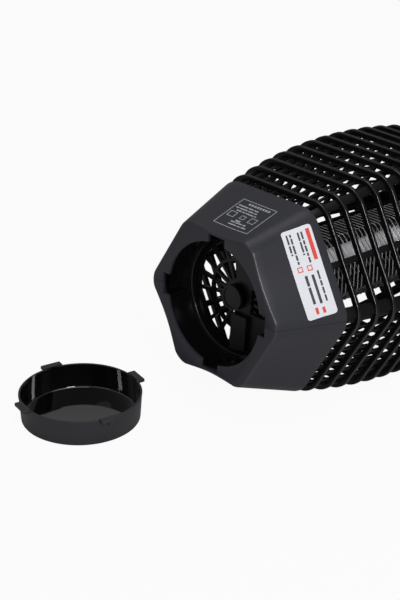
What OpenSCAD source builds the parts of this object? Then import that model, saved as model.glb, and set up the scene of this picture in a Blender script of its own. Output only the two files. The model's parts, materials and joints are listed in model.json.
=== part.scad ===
// Electric insect killer: a flared hexagonal base, a barrel of hoops and slats round a wound
// high-voltage grid and an ultraviolet tube, a top cap with a swinging bail, and the round
// collection tray, taken out and set down beside the mouth. The body lies on its side.
//
// Body pieces are drawn in the body's own frame: its axis is Z, with 0 at the mouth and
// increasing towards the cap. lay_down() sets them in the part's frame, where the origin is
// the middle of the tray's foot, Z is up and X runs along the body.

/* [Base] */
// Corner to corner radius of the hexagon at the mouth
mouth_r = 67.6; // [64:0.2:74]
// Length of the base, from the mouth to the first gap
base_len = 57.6; // [50:0.2:66]
// Corner radius of the hexagon at the mouth
mouth_round = 13.4; // [8:0.2:16]
// How far the sides of the mouth draw in between the corners
mouth_dip = 2.2; // [0:0.2:3]
// Corner to corner radius of the hexagon where the base meets the cage
base_end_r = 87.8; // [84:0.2:92]
// Wall of the base and the cap
wall = 2.4; // [2:0.1:3]
// Depth of the base's inward flange, which carries the bars
base_flange = 5.6; // [5:0.2:9]
// Thickness of the flanges of base and cap
flange_t = 3.2; // [2:0.2:4]

/* [Cage] */
// Corner to corner radius of the barrel at its widest
belly_r = 102.7; // [96:0.2:110]
// Distance of the widest place from the mouth
belly_z = 171.7; // [165:0.2:180]
// Distance of the first hoop's middle from the mouth
first_hoop = 68.4; // [66:0.2:72]
// Pitch of the hoops along the body
hoop_pitch = 16.2; // [15:0.1:17]
// Number of hoops
hoop_count = 14; // [12:1:15]
// Width of a hoop along the body
hoop_w = 3.2; // [2.6:0.1:5]
// Depth of a hoop across the body
hoop_depth = 4.8; // [4:0.1:6.5]
// Corner radius of the hoops
hoop_round = 19.2; // [14:0.2:24]
// Pitch of the slats on a close-barred side
slat_pitch = 9.4; // [9:0.1:10]
// Number of slats on a close-barred side
slat_count = 8; // [6:1:8]
// Width of a slat
slat_w = 2.6; // [2:0.1:4]
// Thickness of a slat
slat_t = 1.7; // [1.4:0.1:3]
// Width of the bar down the middle of an open side
mid_bar_w = 5; // [3:0.1:6]
// Width of a corner post
post_w = 7; // [6:0.2:9]
// How far the strip beside the seam reaches from the corner, on an open side
strip_w = 12; // [8:0.5:16]

/* [Cap] */
// Corner to corner radius of the hexagon at the top end
cap_end_r = 67; // [64:0.2:74]
// Length of the cap
cap_len = 45; // [42:0.2:52]
// Depth of the cap's inward flange, which the deck's rim stands in
cap_flange = 9.6; // [9:0.2:11]
// Thickness of the deck between the cage and the cap
deck_t = 3; // [2:0.2:4]

/* [Tray and socket] */
// Outer radius of the tray's rim
tray_r = 48; // [46:0.1:48.2]
// Outer radius of the tray's foot
tray_foot_r = 46.4; // [44:0.1:46.4]
// Height of the tray's rim
tray_h = 21.5; // [16:0.1:22]
// Wall of the tray
tray_wall = 1.6; // [1.2:0.1:2.4]
// Width of a bayonet lug
lug_w = 16.6; // [12:0.1:17]
// Radius that the lugs reach
lug_r = 53; // [51:0.1:53.4]
// Thickness of a lug
lug_t = 2.6; // [2:0.1:3]
// How far the lugs stand above the rim
lug_rise = 0.9; // [0.5:0.1:2]
// Turn of the tray as it stands
tray_turn = -14; // [-45:1:45]
// Gap round the tray in its socket
socket_gap = 0.6; // [0.4:0.1:1]
// Wall of the socket
socket_wall = 2.4; // [2:0.1:2.6]
// Depth of the socket down to its step
socket_depth = 23; // [22:0.2:24]
// Width of the step at the bottom of the socket
socket_step = 3; // [2:0.2:4]
// Height of the collar below the step
collar_h = 5; // [4:0.2:6]

/* [Floor grille] */
// Thickness of the grille
grille_t = 3; // [2:0.2:4]
// Number of ribs in the whole circle
rib_count = 20; // [16:1:24]
// Width of a rib
rib_w = 2.4; // [1.6:0.1:3]
// Middle radius of the ring between the two rows of windows
mid_ring_r = 28; // [24:0.5:32]
// Radius of the hub
hub_r = 9.8; // [9:0.1:12]
// How far the hub stands up towards the mouth
hub_rise = 8; // [5:0.2:10]

/* [Killing grid and lamp] */
// Radius of the circle of posts that carry the wires
grid_r = 28; // [26:0.5:32]
// Radius of a post
grid_post_r = 2.4; // [1.6:0.1:3]
// Diameter of a grid wire
wire_d = 0.9; // [0.6:0.1:1.4]
// Turns of each of the two wires
wire_turns = 22; // [16:1:23]
// Pitch of each wire
wire_pitch = 9.4; // [8:0.1:9.6]
// Diameter of the lamp tube
tube_d = 16; // [15:0.5:17]
// Length of the lamp tube between its end caps
tube_len = 196; // [190:1:200]
// Length of a lamp end cap
tube_cap_len = 8; // [6:0.5:10]
// Length of the upper lamp holder, which hangs from the deck
holder_len = 10.6; // [9:0.2:16]
// How far the lamp stands from the body's axis, towards the upper half
lamp_y = 5; // [0:0.5:8]
// Thickness of the curved shield round the far side of the grid
shield_t = 1.2; // [0.8:0.1:1.6]

/* [Bail] */
// Radius of the bail's rod
bail_rod_r = 3; // [2.6:0.1:3.4]
// Half the width between the bail's arms
bail_half_w = 44; // [38:0.5:46]
// Length of the bail's arms from the pivot to the bend
bail_arm = 16; // [10:0.5:20]
// Radius of the pivots
pivot_r = 2.2; // [1.8:0.1:2.4]

/* [Label] */
// Length of the label round the body
label_l = 69.6; // [50:0.2:70]
// Width of the label along the body
label_w = 25.8; // [16:0.2:26]

/* [Pose] */
// How far the mouth's middle stands from the tray's middle, along the body
mouth_x = 64.6; // [62:0.2:90]
// How far the tray stands out to the side of the body's axis
mouth_y = 79.6; // [60:0.2:120]
// Angle at which the body lies, cap end down
lie_tilt = 4.07; // [3.9:0.01:4.2]

/* [Hidden] */

$fn = 64;
black = [0.09, 0.09, 0.10];
dark = [0.16, 0.16, 0.18];
steel = [0.72, 0.73, 0.75];
eps = 0.01;
clearance = 0.3;    // between pieces whose edges lie side by side
fit = 0.05;         // between a pin or screw and its hole
edge = 1.4;         // rounding of the outer edges of base and cap

// The barrel: its corner radius falls off from the belly as a parabola.
belly_fall = (belly_r - base_end_r) / pow(belly_z - base_len, 2);
function barrel_r(z) = belly_r - belly_fall * pow(z - belly_z, 2);
function flat_of(r) = r * cos(30);

last_hoop = first_hoop + (hoop_count - 1) * hoop_pitch;
hoop_lead = first_hoop - base_len;
cap_z = last_hoop + hoop_lead;
end_z = cap_z + cap_len;
base_rear_r = base_end_r;
cap_rear_r = barrel_r(cap_z);
flare = atan((flat_of(base_rear_r) - flat_of(mouth_r)) / base_len);

socket_r = tray_r + socket_gap;
socket_out_r = socket_r + socket_wall;
notch_r = lug_r + 1.2;
notch_w = lug_w + 0.7;
notch_wall = 1.6;   // round the channels and the track
floor_z = socket_depth + collar_h;
grille_back = floor_z + grille_t;

// The slats lie flush with the hoops' inner faces.
slat_in = hoop_depth - slat_t;

deck_z = cap_z - deck_t;
ring_t = 4;
corners = 8;        // posts of the grid, and corners that a wire turns in one turn
post_turn = 180 / corners;
wire_r = grid_r + (grid_post_r + wire_d / 2 + fit) / cos(180 / corners);
grid_low_z = base_len + 2;
grid_high_z = deck_z - ring_t;

// The body lies on the hoop that reaches lowest, so its height follows from the barrel.
hoop_reach = [for (k = [0:hoop_count - 1], e = [-1, 1])
    let (c = first_hoop + k * hoop_pitch)
    flat_of(barrel_r(c)) * cos(lie_tilt) + (c + e * hoop_w / 2) * sin(lie_tilt)];
mouth_z = max(hoop_reach);

module lay_down()
    translate([mouth_x, -mouth_y, mouth_z])
        rotate([0, 90 + lie_tilt, 0])
            rotate([0, 0, 90])
                children();

// ---- Outlines ----

corner_steps = 6;

// Points of a hexagon with round corners whose sides draw in by dip at their middles.
function hex_points(r, round, dip = 0, side_steps = 1) = [
    for (k = [0:5])
        let (
            heart = r - round / cos(30),
            turn = 60 * k,
            here = [heart * cos(turn), heart * sin(turn)],
            next = [heart * cos(turn + 60), heart * sin(turn + 60)],
            out = [cos(turn + 30), sin(turn + 30)]
        )
        each concat(
            [for (j = [0:corner_steps])
                let (a = turn - 30 + 60 * j / corner_steps)
                here + round * [cos(a), sin(a)]],
            [for (j = [1:1:side_steps - 1])
                let (t = j / side_steps)
                here * (1 - t) + next * t + out * (round - dip * sin(180 * t))]
        )
];

// A closed solid through a stack of outlines, each given as [z, radius, corner radius, dip].
module stacked(levels) {
    rings = [for (l = levels) [for (p = hex_points(l[1], l[2], l[3], 4)) [p[0], p[1], l[0]]]];
    n = len(rings[0]);
    top = len(levels) - 1;
    points = concat(
        [for (ring = rings) each ring],
        [[0, 0, levels[0][0]], [0, 0, levels[top][0]]]
    );
    sides = [for (i = [0:top - 1], j = [0:n - 1], half = [0, 1])
        let (a = i * n + j, b = i * n + (j + 1) % n)
        half == 0 ? [a, a + n, b + n] : [a, b + n, b]];
    floor_fan = [for (j = [0:n - 1]) [j, (j + 1) % n, (top + 1) * n]];
    top_fan = [for (j = [0:n - 1]) [top * n + (j + 1) % n, top * n + j, (top + 1) * n + 1]];
    polyhedron(points = points, faces = concat(sides, floor_fan, top_fan), convexity = 6);
}

// A flat hexagon with round corners.
module round_hex(r, round)
    polygon(hex_points(r, round));

// Half of the space, above the split (side = 1) or below it (side = -1).
module half_space(side)
    translate([-150, side > 0 ? 0 : -150, -10])
        cube([300, 150, 400]);

// ---- Base ----

function blend_r(z) = mouth_r + (base_rear_r - mouth_r) * z / base_len;
function blend_round(z) = mouth_round + (hoop_round - mouth_round) * z / base_len;
function blend_dip(z) = mouth_dip * pow(max(0, 1 - z / base_len), 2);

base_levels = [0, 0.25, 0.5, 0.75, 1];
cavity_front = wall / cos(flare);

module base_outside()
    stacked(concat(
        [[0, mouth_r - edge, mouth_round - edge, mouth_dip]],
        [for (f = base_levels)
            let (z = edge + f * (base_len - 2 * edge))
            [z, blend_r(z), blend_round(z), blend_dip(z)]],
        [[base_len, base_rear_r - edge, hoop_round - edge, 0]]
    ));

module base_cavity() {
    shrink = cavity_front / cos(30);
    last = base_len - flange_t;
    stacked([for (f = base_levels)
        let (z = wall + f * (last - wall))
        [z, blend_r(z) - shrink, blend_round(z) - wall, blend_dip(z)]]);
}

module flange_opening(r, z, t, depth)
    translate([0, 0, z])
        linear_extrude(t)
            round_hex(r - depth / cos(30), hoop_round - depth);

// Screw bosses: the screws run across the split, near the corners on it.
base_screw_z = 44;
base_screw = [blend_r(base_screw_z) - 14, base_screw_z];
cap_screw = [cap_rear_r - 20, cap_z + 14];
screw_r = 1.6;
screw_head_r = 3;
screw_head_h = 2.4;
boss_r = 4.2;
screw_reach = 12;   // how far the screws run past the split
screw_seat = 10;    // how far the screw heads lie from the split
boss_len = 22;      // how far the bosses run from the split, past the screws on both sides

// The two halves are alike, half a turn apart, so one screw goes in from above and one from
// below, each through the open side of its half.
module screw_places(place)
    for (turn = [0, 180])
        rotate(turn)
            translate([place[0], 0, place[1]])
                rotate([90, 0, 0])
                    children();

module screw_bosses(place)
    screw_places(place)
        cylinder(r = boss_r, h = 2 * boss_len, center = true);

module screw_holes(place)
    screw_places(place) {
        translate([0, 0, -screw_reach - 0.5])
            cylinder(r = screw_r + fit, h = screw_reach + screw_seat + 1);
        translate([0, 0, screw_seat])
            cylinder(r = screw_head_r + 4 * fit, h = 60);
    }

module tray_mouth() {
    translate([0, 0, -1])
        cylinder(r = socket_r, h = wall + 2);
    for (a = [0:90:270])
        rotate(a)
            translate([0, -notch_w / 2, -1])
                cube([notch_r, notch_w, wall + 2]);
}

module base_shell(side)
    color(black)
        lay_down()
            difference() {
                intersection() {
                    base_outside();
                    half_space(side);
                }
                difference() {
                    base_cavity();
                    screw_bosses(base_screw);
                }
                flange_opening(base_rear_r, base_len - flange_t - 1, flange_t + 2, base_flange);
                tray_mouth();
                screw_holes(base_screw);
            }

module base_shell_upper() base_shell(1);
module base_shell_lower() base_shell(-1);

track_h = 4;        // height of the slot that the lugs turn into
track_wall = 2;     // behind and in front of that slot
track_top = socket_depth - track_wall;
back_lead = 6;      // how far behind the mouth's wall the channels' backs begin
track_turn = 18;

module tray_socket()
    color(black)
        lay_down()
            difference() {
                union() {
                    translate([0, 0, wall])
                        cylinder(r = socket_out_r, h = floor_z - wall);
                    translate([0, 0, track_top - track_h - track_wall])
                        cylinder(r = notch_r + notch_wall, h = track_h + 2 * track_wall);
                    for (a = [0:90:270])
                        rotate(a)
                            translate([socket_r, -notch_w / 2 - notch_wall, wall + back_lead])
                                cube([
                                    notch_r + notch_wall - socket_r,
                                    notch_w + 2 * notch_wall,
                                    track_top - wall - back_lead
                                ]);
                }
                translate([0, 0, -1])
                    cylinder(r = socket_r, h = socket_depth + 1);
                cylinder(r = socket_r - socket_step, h = floor_z + 1);
                for (a = [0:90:270])
                    rotate(a) {
                        translate([0, -notch_w / 2, 0])
                            cube([notch_r, notch_w, track_top]);
                        translate([0, 0, track_top - track_h])
                            rotate_extrude(angle = track_turn)
                                translate([socket_r - 1, 0])
                                    square([notch_r - socket_r + 1, track_h]);
                    }
            }

module ring_2d(out, inside)
    difference() {
        circle(r = out);
        circle(r = inside);
    }

grille_rim_in = socket_r - socket_step - 3.4;
mid_ring_w = 2.4;
hub_ring_r = hub_r + 3.5;
hub_cap_t = 2;
hub_cap_rim = 1.5;

module floor_grille()
    color(black)
        lay_down() {
            translate([0, 0, floor_z])
                linear_extrude(grille_t) {
                    ring_2d(socket_out_r, grille_rim_in);
                    ring_2d(mid_ring_r + mid_ring_w / 2, mid_ring_r - mid_ring_w / 2);
                    circle(r = hub_ring_r);
                    for (k = [0:rib_count - 1])
                        rotate((k + 0.5) * 360 / rib_count)
                            translate([hub_ring_r - 1, -rib_w / 2])
                                square([grille_rim_in - hub_ring_r + 2, rib_w]);
                }
            translate([0, 0, floor_z - hub_rise + hub_cap_t])
                cylinder(r = hub_r, h = hub_rise - hub_cap_t + eps);
        }

module hub_cap()
    color(dark)
        lay_down()
            translate([0, 0, floor_z - hub_rise])
                difference() {
                    cylinder(r = hub_r, h = hub_cap_t);
                    translate([0, 0, -1])
                        cylinder(r = hub_r - hub_cap_rim, h = 1.8);
                }

cover_t = 2;
cover_edge = 1;     // how far the cover reaches past the middle of the floor
duct_w = 15.7;
duct_t = 6;
recess = [30, 20];
duct_gap = 3;       // from the duct to that recess

// A flat cover over one side of the floor, with a duct that stands on it below the hub.
module wiring_cover()
    color(dark)
        lay_down() {
            translate([0, 0, floor_z - cover_t])
                linear_extrude(cover_t)
                    difference() {
                        circle(r = grille_rim_in);
                        translate([cover_edge, -60])
                            square([60, 120]);
                        circle(r = hub_r + 2 * clearance);
                        translate([cover_edge - duct_w - recess[0], -recess[1] / 2])
                            square(recess);
                    }
            translate([0, 0, floor_z - duct_t])
                linear_extrude(duct_t - cover_t + eps)
                    intersection() {
                        circle(r = grille_rim_in);
                        translate([cover_edge - duct_w, -60])
                            square([duct_w, 60 - recess[1] / 2 - duct_gap]);
                    }
        }

// ---- Cage ----

slat_stations = concat([base_len], [for (k = [0:hoop_count - 1]) first_hoop + k * hoop_pitch], [cap_z]);

// A bar along the body that follows the barrel. rise and drop are its outer and inner faces,
// measured in from the barrel's own surface.
module barrel_bar(width, rise, drop, at_corner = false) {
    n = len(slat_stations);
    reach = [for (z = slat_stations) at_corner ? barrel_r(z) : flat_of(barrel_r(z))];
    outline = concat(
        [for (i = [0:n - 1]) [reach[i] - rise, slat_stations[i]]],
        [for (i = [0:n - 1]) [reach[n - 1 - i] - drop, slat_stations[n - 1 - i]]]
    );
    rotate([90, 0, 0])
        translate([0, 0, -width / 2])
            linear_extrude(width)
                polygon(outline);
}

module hoop(side, k) {
    z = first_hoop + k * hoop_pitch;
    r = barrel_r(z);
    translate([0, 0, z - hoop_w / 2])
        linear_extrude(hoop_w)
            intersection() {
                difference() {
                    round_hex(r, hoop_round);
                    round_hex(r - hoop_depth / cos(30), hoop_round - hoop_depth);
                }
                translate([-150, side > 0 ? 0 : -150])
                    square([300, 150]);
            }
}

module slatted_side(turn)
    rotate(turn)
        for (i = [0:slat_count - 1])
            translate([0, (i - (slat_count - 1) / 2) * slat_pitch, 0])
                barrel_bar(slat_w, slat_in, slat_in + slat_t);

module open_side(turn)
    rotate(turn)
        barrel_bar(mid_bar_w, slat_in, slat_in + slat_t);

strip_edge = 3;     // from the corner to the strip's near edge

// The strip that closes an open side beside the seam. It keeps its distance from the corner.
module seam_strip(turn) {
    n = len(slat_stations);
    half = [for (z = slat_stations) barrel_r(z) / 2];
    outline = concat(
        [for (i = [0:n - 1]) [half[i] - strip_edge, slat_stations[i]]],
        [for (i = [0:n - 1]) [half[n - 1 - i] - strip_w, slat_stations[n - 1 - i]]]
    );
    rotate(turn)
        intersection() {
            barrel_bar(belly_r, slat_in, slat_in + slat_t);
            rotate([90, 0, 90])
                linear_extrude(belly_r)
                    polygon(outline);
        }
}

corner_in = hoop_depth / cos(30) + (hoop_round - hoop_depth) * (1 / cos(30) - 1);
post_t = 3.4;
post_in = corner_in - slat_t;

module corner_post(turn, width, shift)
    rotate(turn)
        translate([0, shift, 0])
            barrel_bar(width, post_in, post_in + post_t, true);

// One half of the cage. The lower half is the upper one turned half a turn about the axis.
module cage_half() {
    for (k = [0:hoop_count - 1])
        hoop(1, k);
    slatted_side(30);
    slatted_side(90);
    open_side(150);
    seam_strip(150);
    corner_post(60, post_w, 0);
    corner_post(120, post_w, 0);
    corner_post(0, post_w / 2, post_w / 4);
    corner_post(180, post_w / 2, -post_w / 4);
}

module cage_upper()
    color(black)
        lay_down()
            cage_half();

module cage_lower()
    color(black)
        lay_down()
            rotate(180)
                cage_half();

// ---- Cap ----

// The end is rounded over in steps, each given as its distance from the end and as how far its
// radius and its corner radius stand out from the cap's own.
cap_steps = [[12, 7, 3], [4, 1.6, 1], [0, -3, -2]];
cap_shrink = wall / cos(30) + 0.25;
cap_roof_in = 0.8;  // how far the roof's inner edge lies in from the last step but one

module cap_outside()
    stacked(concat(
        [[cap_z, cap_rear_r - edge, hoop_round - edge, 0],
         [cap_z + edge, cap_rear_r, hoop_round, 0]],
        [for (s = cap_steps) [end_z - s[0], cap_end_r + s[1], mouth_round + s[2], 0]]
    ));

module cap_cavity()
    stacked([
        [cap_z + flange_t, cap_rear_r - cap_shrink, hoop_round - wall, 0],
        [end_z - cap_steps[0][0], cap_end_r + cap_steps[0][1] - cap_shrink,
            mouth_round + cap_steps[0][2] - wall, 0],
        [end_z - wall, cap_end_r + cap_steps[1][1] - cap_roof_in - cap_shrink,
            mouth_round + cap_steps[1][2] - wall, 0]
    ]);

gland_r = 7;

module cap_shell(side)
    color(black)
        lay_down()
            difference() {
                intersection() {
                    cap_outside();
                    half_space(side);
                }
                difference() {
                    cap_cavity();
                    screw_bosses(cap_screw);
                }
                flange_opening(cap_rear_r, cap_z - 1, flange_t + 2, cap_flange);
                translate([0, 0, end_z - wall - 1])
                    cylinder(r = gland_r, h = wall + 2);
                screw_holes(cap_screw);
            }

module cap_shell_upper() cap_shell(1);
module cap_shell_lower() cap_shell(-1);

deck_r = cap_rear_r - cap_flange / cos(30) - clearance;
deck_rim_in = 60;

// A plate with a rim that stands in the opening of the cap's flange.
module top_deck()
    color(dark)
        lay_down() {
            translate([0, 0, deck_z])
                linear_extrude(deck_t)
                    round_hex(deck_r, hoop_round - cap_flange);
            translate([0, 0, cap_z - eps])
                linear_extrude(flange_t + eps)
                    difference() {
                        round_hex(deck_r, hoop_round - cap_flange);
                        circle(r = deck_rim_in);
                    }
        }

// ---- Bail ----

pivot_out = 8.5;    // how far the pivots stand off the end of the cap
bracket_w = 6;
bracket_h = 12;
bracket_gap = 0.4;  // between the bail's arms and the brackets
bracket_x = bail_half_w + bail_rod_r + bracket_w / 2 + bracket_gap;

module bail_brackets()
    color(dark)
        lay_down()
            for (mx = [-1, 1])
                translate([mx * bracket_x, 0, end_z])
                    difference() {
                        union() {
                            translate([-bracket_w / 2, -bracket_h / 2, 0])
                                cube([bracket_w, bracket_h, pivot_out]);
                            translate([-bracket_w / 2, 0, pivot_out])
                                rotate([0, 90, 0])
                                    cylinder(r = bracket_h / 2, h = bracket_w);
                        }
                        translate([-bracket_w, 0, pivot_out])
                            rotate([0, 90, 0])
                                cylinder(r = pivot_r + fit, h = 2 * bracket_w);
                    }

// The bail hangs straight down from its pivots.
module bail()
    color(dark)
        lay_down()
            translate([0, 0, end_z + pivot_out])
                rotate([-lie_tilt, 0, 0]) {
                    for (mx = [-1, 1]) {
                        translate([mx * bail_half_w, 0, 0])
                            rotate([90, 0, 0])
                                cylinder(r = bail_rod_r, h = bail_arm);
                        translate([mx * bail_half_w, 0, 0])
                            sphere(r = bail_rod_r);
                        translate([mx * bail_half_w, 0, 0])
                            rotate([0, mx * 90, 0])
                                cylinder(r = pivot_r, h = bail_rod_r + bracket_gap + bracket_w + 1);
                    }
                    translate([0, -bail_arm, 0])
                        rotate([0, 0, 180])
                            rotate_extrude(angle = 180)
                                translate([bail_half_w, 0])
                                    circle(r = bail_rod_r);
                }

// ---- Cable inlet ----

cable_r = 3.3;
gland_shank = 6;    // inside the cap's wall
gland_flange = 2.4; // thickness of the flange, and how far it reaches past the hole
gland_cone = 13.6;
gland_lip = 1.6;    // wall at the tip

module cable_gland()
    color(dark)
        lay_down()
            difference() {
                union() {
                    translate([0, 0, end_z - wall - gland_shank])
                        cylinder(r = gland_r - fit, h = wall + gland_shank);
                    translate([0, 0, end_z])
                        cylinder(r = gland_r + gland_flange, h = gland_flange);
                    translate([0, 0, end_z + gland_flange - eps])
                        cylinder(r1 = gland_r, r2 = cable_r + gland_lip, h = gland_cone);
                }
                translate([0, 0, end_z - wall - gland_shank - 1])
                    cylinder(r = cable_r, h = wall + gland_shank + gland_flange + gland_cone + 2);
            }

nut_t = 4;
nut_side = 4;

module gland_nut()
    color(dark)
        lay_down()
            translate([0, 0, end_z - wall - nut_t])
                difference() {
                    cylinder(r = gland_r + nut_side, h = nut_t, $fn = 6);
                    translate([0, 0, -1])
                        cylinder(r = gland_r, h = nut_t + 2);
                }

// ---- Killing grid ----

ring_side = 5;      // how far the rings reach inside the posts' middles
ring_lip = 0.2;     // how far the rings reach past the shield
shield_gap = 1.3;   // between the wires and the shield
shield_r = wire_r + wire_d / 2 + shield_gap;
grid_ring_out = shield_r + shield_t + ring_lip;
grid_ring_in = grid_r - ring_side;
standoff_r = 3;
standoff_at = mid_ring_r;

module post_places()
    for (k = [0:corners - 1])
        rotate(post_turn + k * 360 / corners)
            translate([grid_r, 0, 0])
                children();

module grid_ring_lower()
    color(dark)
        lay_down()
            difference() {
                union() {
                    translate([0, 0, grid_low_z])
                        linear_extrude(ring_t)
                            ring_2d(
                                max(grid_ring_out, standoff_at + standoff_r),
                                min(grid_ring_in, standoff_at - standoff_r)
                            );
                    for (a = [45:90:315])
                        rotate(a)
                            translate([standoff_at, 0, grille_back])
                                cylinder(r = standoff_r, h = grid_low_z - grille_back + eps);
                }
                post_places()
                    translate([0, 0, grid_low_z + ring_t / 2])
                        cylinder(r = grid_post_r + fit, h = ring_t);
            }

module grid_ring_upper()
    color(dark)
        lay_down()
            difference() {
                translate([0, 0, grid_high_z])
                    linear_extrude(ring_t)
                        ring_2d(grid_ring_out, grid_ring_in);
                post_places()
                    translate([0, 0, grid_high_z - ring_t / 2])
                        cylinder(r = grid_post_r + fit, h = ring_t);
            }

module grid_posts()
    color(dark)
        lay_down()
            post_places()
                translate([0, 0, grid_low_z + ring_t / 2])
                    cylinder(r = grid_post_r, h = grid_high_z - grid_low_z);

// A grid wire: one unbroken tube that turns a corner at each post.
wire_sides = 6;
wire_span = wire_turns * wire_pitch;
wire_start = (grid_low_z + ring_t + grid_high_z - wire_span - wire_pitch / 2) / 2;

function wire_angle(i) = post_turn + 360 * i / corners;
function wire_point(i, z0) = [
    wire_r * cos(wire_angle(i)),
    wire_r * sin(wire_angle(i)),
    z0 + wire_pitch * i / corners
];

module grid_wire(z0) {
    steps = wire_turns * corners;
    rise = atan(wire_pitch / (2 * PI * wire_r));
    points = [for (i = [0:steps], k = [0:wire_sides - 1])
        let (
            a = wire_angle(i),
            b = 360 * k / wire_sides,
            out = [cos(a), sin(a), 0],
            up = [sin(rise) * sin(a), -sin(rise) * cos(a), cos(rise)]
        )
        wire_point(i, z0) + wire_d / 2 * (cos(b) * out + sin(b) * up)];
    sides = [for (i = [0:steps - 1], k = [0:wire_sides - 1], half = [0, 1])
        let (
            a = i * wire_sides + k,
            b = i * wire_sides + (k + 1) % wire_sides
        )
        half == 0 ? [a, a + wire_sides, b + wire_sides] : [a, b + wire_sides, b]];
    end = steps * wire_sides;
    front = [for (k = [1:wire_sides - 2]) [0, k, k + 1]];
    back = [for (k = [1:wire_sides - 2]) [end, end + k + 1, end + k]];
    polyhedron(points = points, faces = concat(sides, front, back), convexity = 10);
}

module hv_wire_a()
    color(steel)
        lay_down()
            grid_wire(wire_start);

module hv_wire_b()
    color(steel)
        lay_down()
            grid_wire(wire_start + wire_pitch / 2);

// Least gap of a wire to its own next turn, and to the other wire, on the points of a turn.
one_turn = [for (i = [0:corners - 1]) wire_point(i, 0)];
next_turn = [for (i = [corners - 2:2 * corners + 1]) wire_point(i, 0)];
other_turn = [for (i = [0:corners - 1]) wire_point(i, wire_pitch / 2)];
echo(wire_gap_to_itself = min([for (p = one_turn, q = next_turn)
    if (abs(p[2] - q[2]) > wire_pitch / 2) norm(p - q)]) - wire_d);
echo(wire_gap_to_other = min([for (p = one_turn, q = other_turn) norm(p - q)]) - wire_d);

// ---- Lamp ----

tube_high = deck_z - holder_len - tube_cap_len;
tube_low = tube_high - tube_len;
lamp_pin_r = 1.2;
lamp_pin_len = 6;
lamp_pin_gap = 2.4;
tube_cap_swell = 0.6;

module lamp_tube()
    color([0.86, 0.88, 0.92])
        lay_down()
            translate([0, lamp_y, tube_low])
                cylinder(d = tube_d, h = tube_len);

module lamp_end_caps()
    color(steel)
        lay_down() {
            for (end = [0, 1])
                translate([0, lamp_y, end == 0 ? tube_low - tube_cap_len : tube_high])
                    union() {
                        cylinder(d = tube_d + tube_cap_swell, h = tube_cap_len);
                        for (mx = [-1, 1])
                            translate([mx * lamp_pin_gap, 0, end == 0 ? -lamp_pin_len : tube_cap_len - eps])
                                cylinder(r = lamp_pin_r, h = lamp_pin_len + eps);
                    }
        }

holder_r = 11;
holder_low_z = grille_back;
holder_low_end = tube_low - tube_cap_len;
holder_high_z = tube_high + tube_cap_len;

module pin_holes(z, h)
    for (mx = [-1, 1])
        translate([mx * lamp_pin_gap, lamp_y, z])
            cylinder(r = lamp_pin_r + fit, h = h);

module lamp_holder_lower()
    color(dark)
        lay_down()
            difference() {
                translate([0, lamp_y, holder_low_z])
                    cylinder(r = holder_r, h = holder_low_end - holder_low_z);
                pin_holes(holder_low_end - lamp_pin_len - 0.5, lamp_pin_len + 2);
            }

module lamp_holder_upper()
    color(dark)
        lay_down()
            difference() {
                translate([0, lamp_y, holder_high_z])
                    cylinder(r = holder_r, h = holder_len);
                pin_holes(holder_high_z - 1, lamp_pin_len + 1.5);
            }

// A curved shield from ring to ring, outside the wires, on the side away from the label.
shield_start = -92;
shield_arc = 151;

module lamp_shield()
    color(black)
        lay_down()
            translate([0, 0, grid_low_z + ring_t])
                rotate(shield_start)
                    rotate_extrude(angle = shield_arc)
                        translate([shield_r, 0])
                            square([shield_t, grid_high_z - grid_low_z - ring_t]);

// ---- Electrics in the cap ----

core_size = [44, 34, 26];
core_y = -27;
board_size = [74, 34, 1.6];
board_y = 27;
board_lift = 6;
board_foot_r = 2.4;
board_foot_in = 4;  // from the board's edges to the middles of its feet
slot_w = 6;         // windows of the core, for its winding
slot_edge = 8;
yoke = 6;

module circuit_board()
    color([0.12, 0.36, 0.2])
        lay_down() {
            translate([-board_size[0] / 2, board_y - board_size[1] / 2, cap_z + board_lift])
                cube(board_size);
            for (mx = [-1, 1], my = [-1, 1])
                translate([
                    mx * (board_size[0] / 2 - board_foot_in),
                    board_y + my * (board_size[1] / 2 - board_foot_in),
                    cap_z
                ])
                    cylinder(r = board_foot_r, h = board_lift + eps);
        }

module transformer_core()
    color(steel)
        lay_down()
            translate([-core_size[0] / 2, core_y - core_size[1] / 2, cap_z])
                difference() {
                    cube(core_size);
                    for (mx = [0, 1])
                        translate([mx == 0 ? slot_edge : core_size[0] - slot_edge - slot_w, -1, yoke])
                            cube([slot_w, core_size[1] + 2, core_size[2] - 2 * yoke]);
                }

winding_gap = 0.2;
winding_out = 3;    // how far the winding stands out of the core

module transformer_coil()
    color([0.72, 0.42, 0.2])
        lay_down()
            translate([0, core_y, cap_z + yoke + winding_gap])
                for (mx = [-1, 1])
                    translate([
                        mx * (core_size[0] - 2 * slot_edge - slot_w) / 2 - slot_w / 2 + winding_gap,
                        -core_size[1] / 2 - winding_out,
                        0
                    ])
                        cube([
                            slot_w - 2 * winding_gap,
                            core_size[1] + 2 * winding_out,
                            core_size[2] - 2 * yoke - 2 * winding_gap
                        ]);

cap_count = 4;
cap_pitch = 16;
cap_r = 5.5;
cap_h = 16;

module capacitors()
    color([0.2, 0.3, 0.55])
        lay_down()
            for (i = [0:cap_count - 1])
                translate([
                    (i - (cap_count - 1) / 2) * cap_pitch,
                    board_y,
                    cap_z + board_lift + board_size[2]
                ])
                    cylinder(r = cap_r, h = cap_h);

module case_screws()
    color(steel)
        lay_down()
            for (place = [base_screw, cap_screw])
                screw_places(place) {
                    translate([0, 0, -screw_reach])
                        cylinder(r = screw_r, h = screw_reach + screw_seat);
                    translate([0, 0, screw_seat - eps])
                        cylinder(r = screw_head_r, h = screw_head_h);
                }

// ---- Label ----

label_t = 0.3;
label_lift = 0.02;  // of adhesive
label_mid = 0.66;   // of the way along the base
label_shift = -1.3; // round the body
label_round = 2.5;

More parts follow.
